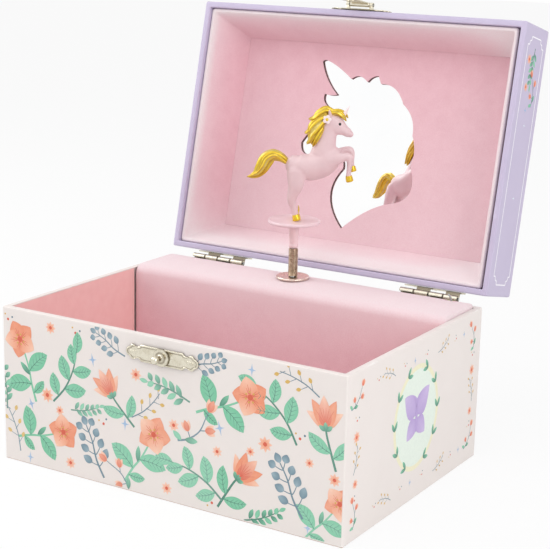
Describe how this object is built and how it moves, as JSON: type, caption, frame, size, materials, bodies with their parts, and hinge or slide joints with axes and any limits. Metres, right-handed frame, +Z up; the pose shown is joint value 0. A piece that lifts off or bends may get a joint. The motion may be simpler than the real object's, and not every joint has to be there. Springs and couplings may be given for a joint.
{
  "type": "musical jewellery box",
  "caption": "Paper-covered jewellery box with a hinged lid, a mirror behind a unicorn-head cut-out, a wind-up movement, and a unicorn figure that turns on a bending spring.",
  "frame": {"origin": "centre of the base's underside", "axes": "+X to the right seen from the front, +Y to the back, where the hinges are, +Z up"},
  "size_m": [0.152, 0.1671, 0.1772],
  "materials": {
    "printed_paper": "matt printed paper over fibreboard",
    "lavender_paper": "matt printed paper over fibreboard",
    "salmon_card": "plain coloured card",
    "pink_flock": "short flock on board",
    "champagne_nickel": "bright champagne plate",
    "steel": "plain bright steel",
    "brass": "plain brass",
    "mirror_glass": "silvered",
    "figure_pink": "satin painted moulding",
    "gold_paint": "metallic gold paint"
  },
  "bodies": {
    "base": {"base_front_panel": "printed_paper", "base_back_panel": "printed_paper", "base_left_panel": "printed_paper", "base_right_panel": "printed_paper", "base_bottom_board": "printed_paper", "front_lining": "salmon_card", "left_lining": "salmon_card", "right_lining": "salmon_card", "floor_pad": "pink_flock", "shelf_top_pad": "pink_flock", "shelf_front_pad": "pink_flock", "spindle_grommet": "brass", "hinge_base_leaf_left": "champagne_nickel", "hinge_base_leaf_right": "champagne_nickel", "hinge_pin_left": "steel", "hinge_pin_right": "steel", "clasp_plate": "champagne_nickel", "clasp_knob": "champagne_nickel", "movement_bedplate": "brass", "movement_comb": "steel", "movement_screw_left": "champagne_nickel", "movement_screw_right": "champagne_nickel", "spring_barrel": "brass", "governor_housing": "steel", "stop_guide": "brass"},
    "lid": {"lid_top_panel": "lavender_paper", "lid_front_wall": "lavender_paper", "lid_back_wall": "lavender_paper", "lid_left_wall": "lavender_paper", "lid_right_wall": "lavender_paper", "lid_front_lining": "pink_flock", "lid_right_lining": "pink_flock", "lid_back_lining": "pink_flock", "lid_left_lining": "pink_flock", "mirror_panel": "pink_flock", "mirror": "mirror_glass", "hinge_lid_leaf_left": "champagne_nickel", "hinge_lid_leaf_right": "champagne_nickel", "hasp_plate": "champagne_nickel", "hasp_pin": "steel"},
    "hasp": {"hasp_flap": "champagne_nickel"},
    "fold": {"bending_spring": "champagne_nickel"},
    "figure": {"figure_stand": "figure_pink", "unicorn_body": "figure_pink", "unicorn_mane": "gold_paint", "unicorn_tail": "gold_paint"},
    "spindle": {"drive_spindle": "steel"},
    "cylinder": {"pinned_cylinder": "brass"},
    "key": {"winding_arbor": "steel", "winding_key": "champagne_nickel"},
    "stop": {"stop_wire": "steel"}
  },
  "joints": [
    {"name": "lid_hinge", "type": "hinge", "parent": "base", "child": "lid", "pos_m": [0, 0.05745, 0.0624], "axis": [1, 0, 0], "range_deg": [0, 103]},
    {"name": "hasp_swing", "type": "hinge", "parent": "lid", "child": "hasp", "pos_m": [0, 0.08513, 0.17383], "axis": [-1, 0, 0], "range_deg": [0, 150]},
    {"name": "figure_fold", "type": "hinge", "parent": "base", "child": "fold", "pos_m": [-0.0035, 0.0384, 0.0684], "axis": [1, 0, 0], "range_deg": [0, 113], "deforming": ["bending_spring"]},
    {"name": "figure_spin", "type": "hinge", "parent": "fold", "child": "figure", "pos_m": [-0.0035, 0.0414, 0.0684], "axis": [0, 0, 1], "continuous": true},
    {"name": "spindle_turn", "type": "hinge", "parent": "base", "child": "spindle", "pos_m": [-0.0035, 0.0414, 0.0299], "axis": [0, 0, 1], "continuous": true},
    {"name": "cylinder_turn", "type": "hinge", "parent": "base", "child": "cylinder", "pos_m": [-0.0269, 0.0414, 0.022], "axis": [1, 0, 0], "continuous": true},
    {"name": "key_wind", "type": "hinge", "parent": "base", "child": "key", "pos_m": [0.0126, 0.05665, 0.022], "axis": [0, 1, 0], "continuous": true},
    {"name": "stop_slide", "type": "slide", "parent": "base", "child": "stop", "axis": [0, 0, -1], "range_m": [0, 0.0045]}
  ],
  "couplings": [
    {"joint": "figure_fold", "follows": "lid_hinge", "ratio": 1.0971},
    {"joint": "stop_slide", "follows": "lid_hinge", "m_per_rad": 0.0025032},
    {"joint": "spindle_turn", "follows": "cylinder_turn", "ratio": -1.2},
    {"joint": "figure_spin", "follows": "cylinder_turn", "ratio": -1.2}
  ]
}
